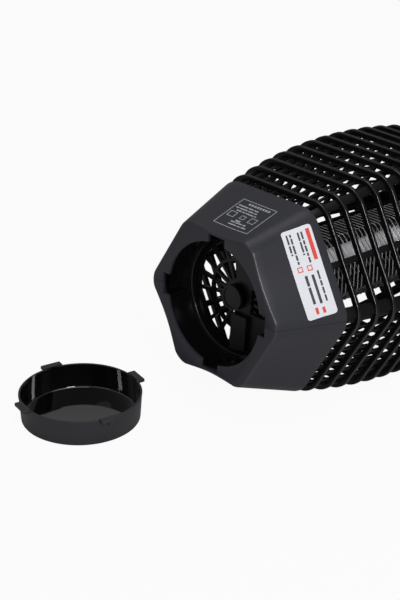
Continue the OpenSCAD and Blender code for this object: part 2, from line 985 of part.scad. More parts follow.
module label_2d()
    union() {
        square([label_w - 2 * label_round, label_l], center = true);
        square([label_w, label_l - 2 * label_round], center = true);
        for (mx = [-1, 1], my = [-1, 1])
            translate([mx * (label_w / 2 - label_round), my * (label_l / 2 - label_round)])
                circle(r = label_round);
    }

// The label lies on the open side's face of the base.
module rating_label()
    color("white")
        lay_down()
            rotate(150)
                translate([flat_of(blend_r(label_mid * base_len)), label_shift, label_mid * base_len])
                    rotate([0, 90 + flare, 0])
                        translate([0, 0, label_lift])
                            linear_extrude(label_t)
                                label_2d();

// ---- Tray ----

gusset = [3, 2, 6]; // under each lug: out from inside the rim, across and down

module collection_tray()
    color(black) {
        rotate_extrude()
            polygon([
                [0, 0],
                [tray_foot_r - 1, 0],
                [tray_foot_r, 1],
                [tray_r, tray_h],
                [tray_r - tray_wall, tray_h],
                [tray_foot_r - tray_wall + 0.2, tray_wall + 2],
                [tray_foot_r - tray_wall - 2, tray_wall],
                [0, tray_wall]
            ]);
        for (a = [0:90:270])
            rotate(a + tray_turn) {
                intersection() {
                    translate([tray_r - tray_wall, -lug_w / 2, tray_h + lug_rise - lug_t])
                        cube([lug_r, lug_w, lug_t]);
                    cylinder(r = lug_r, h = 2 * tray_h);
                }
                translate([tray_r - tray_wall, -gusset[1] / 2, tray_h - gusset[2]])
                    cube(gusset);
            }
    }

base_shell_upper();
base_shell_lower();
tray_socket();
floor_grille();
hub_cap();
wiring_cover();
cage_upper();
cage_lower();
cap_shell_upper();
cap_shell_lower();
top_deck();
bail();
bail_brackets();
cable_gland();
gland_nut();
grid_ring_lower();
grid_ring_upper();
grid_posts();
hv_wire_a();
hv_wire_b();
lamp_shield();
lamp_tube();
lamp_end_caps();
lamp_holder_lower();
lamp_holder_upper();
circuit_board();
transformer_core();
transformer_coil();
capacitors();
case_screws();
rating_label();
collection_tray();
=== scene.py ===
"""Electric insect killer lying on its side, with its collection tray taken out and set down.

The body's own pieces are modelled in the body's frame: its axis is Z, 0 at the mouth, growing
towards the cap, with the split between the two halves at Y = 0. BodyFrame then lays them down
in the part's frame, where Z is up and the floor is at 0.
"""

from __future__ import annotations

import json
import logging
import math
from contextlib import contextmanager
from dataclasses import dataclass
from enum import Enum
from typing import Callable, Iterator, Sequence

import bmesh
import bpy
from mathutils import Matrix, Vector

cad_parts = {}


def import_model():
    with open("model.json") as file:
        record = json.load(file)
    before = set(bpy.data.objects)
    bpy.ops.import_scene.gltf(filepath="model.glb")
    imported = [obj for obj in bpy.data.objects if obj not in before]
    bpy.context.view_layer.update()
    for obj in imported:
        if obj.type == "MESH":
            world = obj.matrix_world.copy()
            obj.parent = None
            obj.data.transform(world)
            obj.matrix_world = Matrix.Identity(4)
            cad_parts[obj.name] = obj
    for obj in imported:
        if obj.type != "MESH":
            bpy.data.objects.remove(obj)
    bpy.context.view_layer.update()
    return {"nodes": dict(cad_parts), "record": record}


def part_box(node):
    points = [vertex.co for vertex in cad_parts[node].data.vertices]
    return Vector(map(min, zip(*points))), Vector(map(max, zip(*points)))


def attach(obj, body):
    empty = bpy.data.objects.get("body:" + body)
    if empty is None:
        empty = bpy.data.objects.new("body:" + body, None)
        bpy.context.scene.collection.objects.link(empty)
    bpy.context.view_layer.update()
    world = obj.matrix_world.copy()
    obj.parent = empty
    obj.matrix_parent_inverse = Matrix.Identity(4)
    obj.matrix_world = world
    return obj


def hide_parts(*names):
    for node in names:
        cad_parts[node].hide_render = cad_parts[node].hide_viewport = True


LOG = logging.getLogger("insect_killer")
MM = 0.001
EASED = 0.35 * MM  # width of the eased edges of moulded plastic
SLANT = math.radians(30)  # half the angle that one side of the hexagon spans
Colour = tuple[float, float, float]
Spot = tuple[float, float]


class Part(Enum):
    """The kinds of mesh element that can be picked, as (select mode, bmesh attribute)."""

    VERTS = ("VERT", "verts")
    EDGES = ("EDGE", "edges")
    FACES = ("FACE", "faces")


class Side(Enum):
    """The two halves of the body, by the turn about the axis that brings the upper one there."""

    UPPER = 0.0
    LOWER = 180.0


def about_axis(degrees: float) -> Matrix:
    """A turn about the body's axis."""
    return Matrix.Rotation(math.radians(degrees), 4, "Z")


def sideways(turn: float) -> Vector:
    """The unit vector that points away from the axis, at a turn in radians."""
    return Vector((math.cos(turn), math.sin(turn), 0))


class Bench:
    """The hand tools that every sub-assembly is modelled with.

    CLEAR lifts a flat sheet off the surface before it is laid on it.
    """

    CLEAR = Matrix.Translation((0, 0, 2 * MM))

    @staticmethod
    def clear() -> None:
        """Deselects every object."""
        bpy.ops.object.select_all(action="DESELECT")

    @staticmethod
    def hold(obj: bpy.types.Object) -> None:
        """Makes one object the only one selected, and the active one."""
        Bench.clear()
        obj.select_set(True)
        bpy.context.view_layer.objects.active = obj

    @staticmethod
    @contextmanager
    def edit() -> Iterator[None]:
        """Edit mode on the active object, with the whole mesh selected."""
        bpy.ops.object.mode_set(mode="EDIT")
        bpy.ops.mesh.select_all(action="SELECT")
        yield
        bpy.ops.object.mode_set(mode="OBJECT")

    @staticmethod
    def take(name: str) -> bpy.types.Object:
        """Names the object that an operator has just made, and applies its place.

        Args:
            name: The name for the object and its mesh.

        Returns:
            The object.
        """
        obj = bpy.context.active_object
        obj.name = name
        obj.data.name = name
        bpy.ops.object.transform_apply(location=True, rotation=True, scale=True)
        return obj

    @staticmethod
    def pick(obj: bpy.types.Object, part: Part, test: Callable[..., bool]) -> None:
        """Selects, in edit mode, the elements that pass a test.

        Args:
            obj: The object in edit mode.
            part: The kind of element.
            test: Takes one bmesh element and says whether it is wanted.
        """
        mode, attribute = part.value
        bpy.ops.mesh.select_all(action="DESELECT")
        bpy.ops.mesh.select_mode(type=mode)
        mesh = bmesh.from_edit_mesh(obj.data)
        for item in getattr(mesh, attribute):
            item.select_set(bool(test(item)))
        mesh.select_flush_mode()
        bmesh.update_edit_mesh(obj.data)

    @staticmethod
    def modify(obj: bpy.types.Object, kind: str, **settings: object) -> None:
        """Adds a modifier and applies it.

        Args:
            obj: The object.
            kind: The modifier's type.
            settings: The modifier's settings.
        """
        Bench.hold(obj)
        modifier = obj.modifiers.new(kind.title(), kind)
        for key, value in settings.items():
            setattr(modifier, key, value)
        bpy.ops.object.modifier_apply(modifier=modifier.name)

    @staticmethod
    def bevel(obj: bpy.types.Object, width: float, segments: int = 3, angle: float = 30.0) -> None:
        """Rounds every edge sharper than an angle in degrees."""
        Bench.modify(obj, "BEVEL", width=width, segments=segments, limit_method="ANGLE",
                     angle_limit=math.radians(angle), harden_normals=False, miter_outer="MITER_ARC")

    @staticmethod
    def cut(obj: bpy.types.Object, cutter: bpy.types.Object, operation: str = "DIFFERENCE") -> None:
        """Cuts an object with another one, which is then removed."""
        Bench.modify(obj, "BOOLEAN", object=cutter, operation=operation, solver="EXACT")
        bpy.data.objects.remove(cutter, do_unlink=True)

    @staticmethod
    def join(pieces: Sequence[bpy.types.Object], name: str) -> bpy.types.Object:
        """Joins two or more objects into one.

        Args:
            pieces: The objects; the first one takes the others in.
            name: The name of the whole.

        Returns:
            The whole.
        """
        Bench.clear()
        for piece in pieces:
            piece.select_set(True)
        bpy.context.view_layer.objects.active = pieces[0]
        bpy.ops.object.join()
        return Bench.take(name)

    @staticmethod
    def copy(obj: bpy.types.Object, name: str, matrix: Matrix) -> bpy.types.Object:
        """Copies an object with a mesh of its own.

        Args:
            obj: The object to copy.
            name: The copy's name.
            matrix: Where the copy goes.

        Returns:
            The copy.
        """
        twin = obj.copy()
        twin.data = obj.data.copy()
        twin.name = name
        twin.data.name = name
        bpy.context.collection.objects.link(twin)
        twin.data.transform(matrix)
        return twin

    @staticmethod
    def halve(obj: bpy.types.Object, gap: float) -> None:
        """Keeps what lies above Y = gap and closes the cut."""
        Bench.hold(obj)
        with Bench.edit():
            bpy.ops.mesh.bisect(plane_co=(0, gap, 0), plane_no=(0, 1, 0), use_fill=True, clear_inner=True)

    @staticmethod
    def smooth(obj: bpy.types.Object, angle: float = 32.0) -> None:
        """Shades an object smooth up to an angle in degrees."""
        Bench.hold(obj)
        bpy.ops.object.shade_smooth_by_angle(angle=math.radians(angle))

    @staticmethod
    def outward(obj: bpy.types.Object) -> None:
        """Merges doubles and turns every face of a closed mesh outwards."""
        Bench.hold(obj)
        with Bench.edit():
            bpy.ops.mesh.remove_doubles(threshold=1e-6)
            bpy.ops.mesh.normals_make_consistent(inside=False)

    @staticmethod
    def block(name: str, start: Sequence[float], end: Sequence[float]) -> bpy.types.Object:
        """A block, as a start for a piece or a cutter.

        Args:
            name: The object's name.
            start: One corner.
            end: The corner across from it.

        Returns:
            The block.
        """
        Bench.clear()
        middle = [(a + b) / 2 for a, b in zip(start, end)]
        bpy.ops.mesh.primitive_cube_add(size=1, location=middle)
        bpy.context.active_object.scale = [abs(b - a) for a, b in zip(start, end)]
        return Bench.take(name)

    @staticmethod
    def rod(name: str, radius: float, low: float, high: float, sides: int) -> bpy.types.Object:
        """An upright cylinder on the axis, as a start for a piece or a cutter.

        Args:
            name: The object's name.
            radius: The cylinder's radius.
            low: Height of its foot.
            high: Height of its top.
            sides: How many sides make its round.

        Returns:
            The cylinder.
        """
        Bench.clear()
        bpy.ops.mesh.primitive_cylinder_add(vertices=sides, radius=radius, depth=high - low,
                                            location=(0, 0, (low + high) / 2))
        return Bench.take(name)

    @staticmethod
    def strip(obj: bpy.types.Object, step: float, reach: float) -> None:
        """Cuts a sheet into small squares by planes square to X and to Y, so that it can bend.

        Args:
            obj: The sheet.
            step: Width of a square.
            reach: How far the planes go, to both sides of the origin.
        """
        Bench.hold(obj)
        count = int(reach / step)
        with Bench.edit():
            for axis in (Vector((1, 0, 0)), Vector((0, 1, 0))):
                for k in range(-count, count + 1):
                    bpy.ops.mesh.select_all(action="SELECT")
                    bpy.ops.mesh.bisect(plane_co=axis * k * step, plane_no=axis)

    @staticmethod
    def sheet(name: str, width: float, length: float, corner: float = 0.0,
              at: Spot = (0, 0)) -> bpy.types.Object:
        """A flat sheet in the XY plane.

        Args:
            name: The object's name.
            width: Its size along X.
            length: Its size along Y.
            corner: Radius of its corners, 0 for sharp ones.
            at: Its middle.

        Returns:
            The sheet.
        """
        Bench.clear()
        bpy.ops.mesh.primitive_plane_add(size=1, location=(*at, 0))
        bpy.context.active_object.scale = (width, length, 1)
        obj = Bench.take(name)
        if corner:
            with Bench.edit():
                bpy.ops.mesh.bevel(offset=corner, segments=6, affect="VERTICES")
        return obj

    @staticmethod
    def stick(obj: bpy.types.Object, onto: bpy.types.Object, lift: float, thick: float) -> None:
        """Lays a sheet on another object's surface, a lift above it, and gives it a thickness."""
        Bench.modify(obj, "SHRINKWRAP", target=onto, offset=lift, wrap_mode="ABOVE_SURFACE")
        Bench.modify(obj, "SOLIDIFY", thickness=thick, offset=1)

    @staticmethod
    def turned(name: str, profile: Sequence[Spot], steps: int = 128, closed: bool = True) -> bpy.types.Object:
        """A turned solid, spun from a profile of (radius, height) points.

        Args:
            name: The object's name.
            profile: The outline, from the inside round to the start.
            steps: Steps of the spin.
            closed: Whether the last point joins the first.

        Returns:
            The solid, with its faces outwards.
        """
        Bench.clear()
        bpy.ops.mesh.primitive_plane_add(size=0.01)
        obj = Bench.take(name)
        with Bench.edit():
            mesh = bmesh.from_edit_mesh(obj.data)
            bmesh.ops.delete(mesh, geom=list(mesh.verts), context="VERTS")
            verts = [mesh.verts.new((r, 0, z)) for r, z in profile]
            for a, b in list(zip(verts, verts[1:])) + ([(verts[-1], verts[0])] if closed else []):
                mesh.edges.new((a, b))
            for item in [*mesh.verts, *mesh.edges]:
                item.select_set(True)
            bmesh.update_edit_mesh(obj.data)
            bpy.ops.mesh.spin(steps=steps, angle=math.tau, center=(0, 0, 0), axis=(0, 0, 1))
        Bench.outward(obj)
        return obj

    @staticmethod
    def hexagon(name: str, radius: float, z: float) -> bpy.types.Object:
        """A filled hexagon with a corner on +X, at a height."""
        Bench.clear()
        bpy.ops.mesh.primitive_circle_add(vertices=6, radius=radius, fill_type="NGON",
                                          location=(0, 0, z), rotation=(0, 0, SLANT))
        return Bench.take(name)


# ---- Finishes ----


class Effects:
    """Shader node groups that several materials share, each built once, and what builds them."""

    @staticmethod
    def feed(tree: bpy.types.NodeTree, target: bpy.types.Node, values: dict) -> bpy.types.Node:
        """Sets a node's inputs.

        Args:
            tree: The tree that the node is in.
            target: The node.
            values: By input: a plain value, or another node's output to link.

        Returns:
            The node.
        """
        for key, value in values.items():
            if isinstance(value, bpy.types.NodeSocket):
                tree.links.new(value, target.inputs[key])
            else:
                target.inputs[key].default_value = value
        return target

    @staticmethod
    def add(tree: bpy.types.NodeTree, kind: str, values: dict | None = None,
            **settings: object) -> bpy.types.Node:
        """Adds a node.

        Args:
            tree: The tree that it goes into.
            kind: The node's type, without its first word where that is ShaderNode.
            values: Its inputs, as in feed.
            settings: Its other settings, which come first.

        Returns:
            The node.
        """
        made = tree.nodes.new(kind if kind.startswith("Node") else "ShaderNode" + kind)
        for key, value in settings.items():
            setattr(made, key, value)
        return Effects.feed(tree, made, values or {})

    @staticmethod
    def group(name: str, inputs: dict[str, float], outputs: Sequence[str]) -> bpy.types.NodeTree:
        """A new node group.

        Args:
            name: The group's name.
            inputs: Its inputs with their defaults.
            outputs: Its outputs.

        Returns:
            The group's tree, still without nodes.
        """
        tree = bpy.data.node_groups.new(name, "ShaderNodeTree")
        for label, value in inputs.items():
            socket = tree.interface.new_socket(label, in_out="INPUT", socket_type="NodeSocketFloat")
            socket.default_value = value
        for label in outputs:
            tree.interface.new_socket(label, in_out="OUTPUT", socket_type="NodeSocketFloat")
        return tree

    @staticmethod
    def moulded_grain() -> bpy.types.NodeTree:
        """Fine spark-eroded grain.

        Returns:
            The group: a height for the bump, and a roughness that varies over the surface.
        """
        name = "moulded grain"
        if name in bpy.data.node_groups:
            return bpy.data.node_groups[name]
        add = Effects.add
        tree = Effects.group(name, {"Size": 2500.0, "Roughness": 0.5, "Spread": 0.08},
                             ("Height", "Roughness"))
        given = add(tree, "NodeGroupInput").outputs
        place = add(tree, "TexCoord").outputs["Object"]
        fine = add(tree, "TexNoise", {"Vector": place, "Scale": given["Size"], "Detail": 3.0})
        broad = add(tree, "TexNoise", {"Vector": place, "Scale": 38.0, "Detail": 4.0})
        centred = add(tree, "Math", {0: broad.outputs["Fac"], 1: 0.5}, operation="SUBTRACT")
        swing = add(tree, "Math", {0: centred.outputs[0], 1: given["Spread"], 2: given["Roughness"]},
                    operation="MULTIPLY_ADD")
        add(tree, "NodeGroupOutput", {"Height": fine.outputs["Fac"], "Roughness": swing.outputs[0]})
        return tree

    @staticmethod
    def dust() -> bpy.types.NodeTree:
        """Sparse pale specks and a faint film.

        Returns:
            The group, whose output is a mask.
        """
        name = "dust"
        if name in bpy.data.node_groups:
            return bpy.data.node_groups[name]
        add = Effects.add
        tree = Effects.group(name, {"Size": 900.0, "Amount": 0.2}, ("Mask",))
        given = add(tree, "NodeGroupInput").outputs
        place = add(tree, "TexCoord").outputs["Object"]
        specks = add(tree, "TexVoronoi", {"Vector": place, "Scale": given["Size"]})
        film = add(tree, "TexNoise", {"Vector": place, "Scale": 60.0})
        near = add(tree, "MapRange",
                   {"Value": specks.outputs["Distance"], "From Min": 0.10, "From Max": 0.04})
        patchy = add(tree, "MapRange", {"Value": film.outputs["Fac"], "From Min": 0.45, "From Max": 0.75})
        both = add(tree, "Math", {0: near.outputs["Result"], 1: patchy.outputs["Result"]},
                   operation="MULTIPLY")
        scaled = add(tree, "Math", {0: both.outputs[0], 1: given["Amount"]}, operation="MULTIPLY")
        add(tree, "NodeGroupOutput", {"Mask": scaled.outputs[0]})
        return tree


@dataclass(frozen=True)
class Finish:
    """What every finish has: a colour, and a gloss that varies with a fine grain."""

    name: str
    colour: Colour
    roughness: float = 0.5
    spread: float = 0.1
    grain_size: float = 2500.0

    def material(self) -> bpy.types.Material:
        """Builds the material on first use.

        Returns:
            The material.
        """
        if self.name not in bpy.data.materials:
            made = bpy.data.materials.new(self.name)
            made.use_nodes = True
            tree = made.node_tree
            grain = Effects.add(tree, "Group", {
                "Size": self.grain_size, "Roughness": self.roughness, "Spread": self.spread,
            }, node_tree=Effects.moulded_grain())
            values = {"Roughness": grain.outputs["Roughness"], **self.surface(tree, grain.outputs["Height"])}
            Effects.feed(tree, tree.nodes["Principled BSDF"], values)
        return bpy.data.materials[self.name]

    def surface(self, tree: bpy.types.NodeTree, height: bpy.types.NodeSocket) -> dict:
        """What the finish adds to the grain: the shader's other inputs, as in Effects.feed."""
        raise NotImplementedError


@dataclass(frozen=True)
class Plastic(Finish):
    """A moulded plastic: a colour with fine grain, a little dust and a set gloss."""

    grain_depth: float = 0.02
    dust: float = 0.12
    specular: float = 0.5
    coat: float = 0.0
    coat_roughness: float = 0.1
    bump: float = 0.6
    dust_colour: Colour = (0.35, 0.34, 0.33)

    def surface(self, tree: bpy.types.NodeTree, height: bpy.types.NodeSocket) -> dict:
        """The bump, the dust and the gloss.

        Args:
            tree: The material's tree.
            height: The grain's height.

        Returns:
            The shader's inputs.
        """
        bump = Effects.add(tree, "Bump", {
            "Strength": self.bump, "Distance": self.grain_depth * MM, "Height": height})
        specks = Effects.add(tree, "Group", {"Amount": self.dust}, node_tree=Effects.dust())
        mix = Effects.add(tree, "Mix", {
            "A": (*self.colour, 1), "B": (*self.dust_colour, 1), "Factor": specks.outputs["Mask"],
        }, data_type="RGBA")
        return {"Base Color": mix.outputs["Result"], "Normal": bump.outputs["Normal"],
                "Specular IOR Level": self.specular, "Coat Weight": self.coat,
                "Coat Roughness": self.coat_roughness}


@dataclass(frozen=True)
class Metal(Finish):
    """A metal with faint drawing marks in its gloss."""

    roughness: float = 0.25
    spread: float = 0.12
    grain_size: float = 1500.0
    shade: float = 0.82

    def surface(self, tree: bpy.types.NodeTree, height: bpy.types.NodeSocket) -> dict:
        """The metal's tint, darker where the grain is high.

        Args:
            tree: The material's tree.
            height: The grain's height.

        Returns:
            The shader's inputs.
        """
        tint = Effects.add(tree, "Mix", {
            "A": (*self.colour, 1), "B": (*[c * self.shade for c in self.colour], 1), "Factor": height,
        }, data_type="RGBA")
        return {"Base Color": tint.outputs["Result"], "Metallic": 1.0}


SHELL = Plastic("shell charcoal plastic", (0.025, 0.0255, 0.032), roughness=0.42, grain_depth=0.03,
                specular=0.3)
# A lighter, glossier copy of the shell plastic for the rounded edge round the closed end: its lighter colour
# is a painted highlight.
SHELL_EDGE_HIGHLIGHT = Plastic("shell edge plastic", (0.030, 0.0305, 0.037), roughness=0.34, grain_depth=0.004,
                     specular=0.4)
CAGE = Plastic("cage black plastic", (0.0025, 0.0025, 0.003), roughness=0.38, spread=0.05,
               grain_depth=0.003, dust=0.04, specular=0.2)
# A lighter, glossier copy of the cage plastic for the hoops' outer edges that face the mouth: its lighter
# colour is a painted highlight.
CAGE_EDGE_HIGHLIGHT = Plastic("cage edge plastic", (0.006, 0.006, 0.007), roughness=0.2, spread=0.04,
                    grain_depth=0.002, dust=0.0, specular=0.8)
INNER = Plastic("inner black plastic", (0.002, 0.002, 0.0022), roughness=0.22, grain_depth=0.005,
                dust=0.05, specular=0.3)
COVER = Plastic("cover grey-black plastic", (0.005, 0.005, 0.006), roughness=0.3, specular=0.3)
INSULATOR = Plastic("insulator plastic", (0.002, 0.002, 0.0022), roughness=0.4, dust=0.03, specular=0.15)
HANDLE = Plastic("handle black plastic", (0.014, 0.014, 0.016), roughness=0.34)
RUBBER = Plastic("gland rubber", (0.016, 0.016, 0.017), roughness=0.65, dust=0.3)
TRAY = Plastic("tray satin plastic", (0.024, 0.024, 0.029), roughness=0.45, specular=0.3)
TRAY_INSIDE = Plastic("tray glossy plastic", (0.002, 0.002, 0.0022), roughness=0.05, spread=0.02,
                      grain_depth=0.0, dust=0.02, coat=1.0, coat_roughness=0.03)
PAPER = Plastic("label white paper", (0.74, 0.75, 0.80), roughness=0.35, grain_depth=0.004, dust=0.0,
                specular=0.3)
RED_INK = Plastic("label red ink", (0.72, 0.07, 0.05), roughness=0.4, dust=0.0)
BLACK_INK = Plastic("label black ink", (0.05, 0.05, 0.06), roughness=0.4, dust=0.0)
PAD_PRINT = Plastic("pad print grey ink", (0.34, 0.35, 0.38), dust=0.0)
LAMP_GLASS = Plastic("lamp coated glass", (0.80, 0.81, 0.84), roughness=0.18, grain_depth=0.0, dust=0.05,
                     coat=0.6, coat_roughness=0.05)
BOARD = Plastic("board green laminate", (0.03, 0.16, 0.06), roughness=0.4)
SLEEVE = Plastic("capacitor sleeve", (0.03, 0.07, 0.22), roughness=0.3)
WIRE = Metal("grid bright wire", (0.88, 0.89, 0.90), roughness=0.28)
CAP_METAL = Metal("lamp cap aluminium", (0.80, 0.80, 0.81), roughness=0.3)
LAMINATIONS = Metal("lamination steel", (0.30, 0.30, 0.32), roughness=0.45)
WINDING = Metal("winding copper", (0.70, 0.32, 0.14), roughness=0.35)
SCREW = Metal("screw zinc", (0.62, 0.62, 0.60), roughness=0.32)


# ---- The frame ----


@dataclass(frozen=True)
class BodyFrame:
    """Where the body lies: the middle of its mouth and the direction that its axis takes."""

    mouth: Vector
    axis: Vector

    @classmethod
    def from_record(cls, record: dict) -> "BodyFrame":
        """Reads the mouth and the axis from the tray's seat, which faces out of the mouth."""
        seat = next(m for m in record["mounts"] if m["name"] == "tray_seat")
        return cls(Vector(seat["pos_m"]), -Vector(seat["axis"]).normalized())

    def matrix(self) -> Matrix:
        """The matrix that lays the body's frame down in the part's frame."""
        across = Vector((0, 1, 0))
        up = self.axis.cross(across)
        turn = Matrix((across, up, self.axis)).transposed().to_4x4()
        return Matrix.Translation(self.mouth) @ turn

    def finish(self, obj: bpy.types.Object, finish: Finish, slot: str,
               *nodes: str, body: str = "housing", laid: bool = False) -> bpy.types.Object:
        """Lays a finished piece down, dresses it and hands it to its body.

        Args:
            obj: The piece, in the body's frame.
            finish: Its finish, put on every slot it has not filled yet.
            slot: The record's material slot; not used.
            nodes: The CAD nodes that it stands for.
            body: The body that it rides on.
            laid: Whether it is in the part's frame already.

        Returns:
            The same piece.
        """
        if not laid:
            obj.data.transform(self.matrix())
        if not obj.data.materials:
            obj.data.materials.append(finish.material())
        Bench.smooth(obj)
        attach(obj, body)
        if nodes:
            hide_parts(*nodes)
        LOG.info("%s: %d faces", obj.name, len(obj.data.polygons))
        return obj

    def halves(self, half: bpy.types.Object, finish: Finish, slot: str, name: str, node: str) -> None:
        """Copies a half to both sides of the split and dresses the copies.

        Args:
            half: The upper half, which is then removed.
            finish: The finish of both.
            slot: The record's material slot.
            name: The copies' name, with {} for the side.
            node: The name of the CAD nodes, with {} for the side.
        """
        for side in Side:
            word = side.name.lower()
            twin = Bench.copy(half, name.format(word), about_axis(side.value))
            self.finish(twin, finish, slot, node.format(word))
        bpy.data.objects.remove(half, do_unlink=True)


# ---- Sub-assemblies ----


@dataclass
class Barrel:
    """The barrel's outline: its corner radius falls off from the belly as a parabola."""

    base_len: float = 57.6 * MM
    belly_r: float = 102.7 * MM
    belly_z: float = 171.7 * MM
    end_r: float = 87.8 * MM
    hoops: int = 14
    first_hoop: float = 68.4 * MM
    pitch: float = 16.2 * MM
    corner: float = 19.2 * MM

    def radius(self, z: float) -> float:
        """Corner radius of the barrel at a distance from the mouth."""
        fall = (self.belly_r - self.end_r) / (self.belly_z - self.base_len) ** 2
        return self.belly_r - fall * (z - self.belly_z) ** 2

    def flat(self, z: float) -> float:
        """Distance of the barrel's flats from its axis."""
        return self.radius(z) * math.cos(SLANT)

    def cap_z(self) -> float:
        """Where the cap begins."""
        return self.first_hoop * 2 - self.base_len + (self.hoops - 1) * self.pitch


def corner_test(edge: bmesh.types.BMEdge) -> bool:
    """Whether an edge runs along the body, from end to end."""
    a, b = edge.verts
    return abs(a.co.z - b.co.z) > 0.6 * edge.calc_length() and edge.calc_length() > 1 * MM


@dataclass
class HexShell:
    """A flared hexagonal shell in two halves: the base, and turned round, the cap."""

    barrel: Barrel
    length: float
    front_r: float
    rear_r: float
    dip: float
    wall: float = 2.4 * MM
    flange: float = 9.6 * MM
    round_pct: float = 12.0
    edge: float = 1.5 * MM
    seam: float = 0.12 * MM

    def outside(self, name: str) -> bpy.types.Object:
        """The closed outer form, with round corners and drawn-in sides."""
        obj = Bench.hexagon(name, self.front_r, 0.0)
        grow = self.rear_r / self.front_r
        with Bench.edit():
            bpy.ops.mesh.extrude_region_move(TRANSFORM_OT_translate={"value": (0, 0, self.length)})
            bpy.ops.transform.resize(value=(grow, grow, 1), center_override=(0, 0, self.length))
            Bench.pick(obj, Part.EDGES, corner_test)
            bpy.ops.mesh.bevel(offset_type="PERCENT", offset_pct=self.round_pct, segments=8, affect="EDGES")
            Bench.pick(obj, Part.EDGES, corner_test)
            bpy.ops.mesh.subdivide(number_cuts=7)
            for turn in range(6):
                self.split_side(math.radians(60 * turn + 30))
        self.draw_in(obj)
        return obj

    @staticmethod
    def split_side(angle: float) -> None:
        """Cuts one side of the hexagon lengthwise into strips, by planes square to it."""
        across, out = sideways(angle + math.pi / 2), sideways(angle)
        for step in range(-3, 4):
            mesh = bmesh.from_edit_mesh(bpy.context.active_object.data)
            for face in mesh.faces:
                face.select_set(abs(face.normal.z) < 0.9 and face.normal.dot(out) > 0.94)
            mesh.select_flush_mode()
            bmesh.update_edit_mesh(bpy.context.active_object.data)
            bpy.ops.mesh.bisect(plane_co=across * step * 8 * MM, plane_no=across)

    def draw_in(self, obj: bpy.types.Object) -> None:
        """Draws each side in between its corners, most at the front and not at all at the rear."""
        for vert in obj.data.vertices:
            along = vert.co.z / self.length
            angle = math.degrees(math.atan2(vert.co.y, vert.co.x)) % 60 - 30
            reach = math.hypot(vert.co.x, vert.co.y)
            if reach < 1 * MM:
                continue
            half = math.tan(SLANT) * (1 - 2 * self.round_pct / 100)
            place = math.tan(math.radians(angle)) / half
            if abs(place) < 1:
                shift = self.dip * math.cos(place * math.pi / 2) * (1 - along) ** 2
                vert.co.x *= 1 - shift / reach
                vert.co.y *= 1 - shift / reach

    def shell(self, name: str) -> bpy.types.Object:
        """The hollow shell, open at the rear inside its flange."""
        obj = self.outside(name)
        Bench.hold(obj)
        with Bench.edit():
            Bench.pick(obj, Part.FACES, lambda face: face.normal.z > 0.9)
            bpy.ops.mesh.inset(thickness=self.flange, depth=0)
            bpy.ops.mesh.delete(type="FACE")
        Bench.modify(obj, "BEVEL", width=self.edge, segments=4, limit_method="ANGLE",
                     angle_limit=math.radians(40))
        for finish in (SHELL, SHELL_EDGE_HIGHLIGHT):
            obj.data.materials.append(finish.material())
        # The rounded edge round the closed end takes the lighter copy, a painted highlight; the rest takes
        # the shell plastic.
        for face in obj.data.polygons:
            face.material_index = int(-0.93 < face.normal.z < -0.42)
        Bench.modify(obj, "SOLIDIFY", thickness=self.wall, offset=-1, use_even_offset=True)
        return obj

    def part(self, whole: bpy.types.Object, place: BodyFrame, name: str) -> None:
        """Cuts the shell at the split and dresses both halves.

        Args:
            whole: The whole shell.
            place: Where the body lies.
            name: The shell's name.
        """
        Bench.halve(whole, self.seam)
        Bench.bevel(whole, EASED, segments=2, angle=50)
        place.halves(whole, SHELL, "shell", name + "_{}", name + "_shell_{}")


@dataclass
class Base(HexShell):
    """The flared base, with the round mouth and the four channels for the tray's lugs."""

    flange: float = 5.6 * MM
    mouth_r: float = 48.6 * MM
    notch_r: float = 54.2 * MM
    notch_w: float = 17.3 * MM

    def mouth_cutter(self) -> bpy.types.Object:
        """The mouth and its four notches, as one solid to cut with."""
        low, high = -1 * MM, self.wall + 1.2 * MM
        cutter = Bench.rod("mouth_cutter", self.mouth_r, low, high, sides=128)
        half = self.notch_w / 2
        for x, y in ((self.notch_r, half), (half, self.notch_r)):
            bar = Bench.block("notch_cutter", (-x, -y, low), (x, y, high))
            Bench.cut(cutter, bar, "UNION")
        return cutter

    def build(self, place: BodyFrame) -> None:
        """Builds and dresses both halves."""
        whole = self.shell("base_half")
        Bench.cut(whole, self.mouth_cutter())
        self.part(whole, place, "base")

    def face(self, turn: float, along: float) -> Matrix:
        """The matrix that lays a flat drawing on a side: its X to the mouth, its Z outwards.

        Args:
            turn: The side's direction about the axis, in degrees.
            along: Distance from the mouth.

        Returns:
            The matrix, in the body's frame.
        """
        shrink = math.cos(SLANT)
        flare = math.atan((self.rear_r - self.front_r) * shrink / self.length)
        reach = (self.front_r + (self.rear_r - self.front_r) * along / self.length) * shrink
        return (about_axis(turn) @ Matrix.Translation((reach, 0, along))
                @ Matrix.Rotation(math.pi / 2 + flare, 4, "Y"))


@dataclass(frozen=True)
class Line:
    """A printed line of plain bars, each in the place of a word."""

    across: float
    start: float
    end: float
    height: float
    words: tuple[float, ...] = (6.0, 3.2, 4.6, 2.4, 5.4)
    space: float = 0.9

    def bars(self) -> list[tuple[float, float, float]]:
        """The bars, as (start, end, across)."""
        made, at, k = [], self.start, 0
        while at < self.end:
            stop = min(at + self.words[k % len(self.words)], self.end)
            made.append((at, stop, self.across))
            at = stop + self.space
            k += 1
        return made


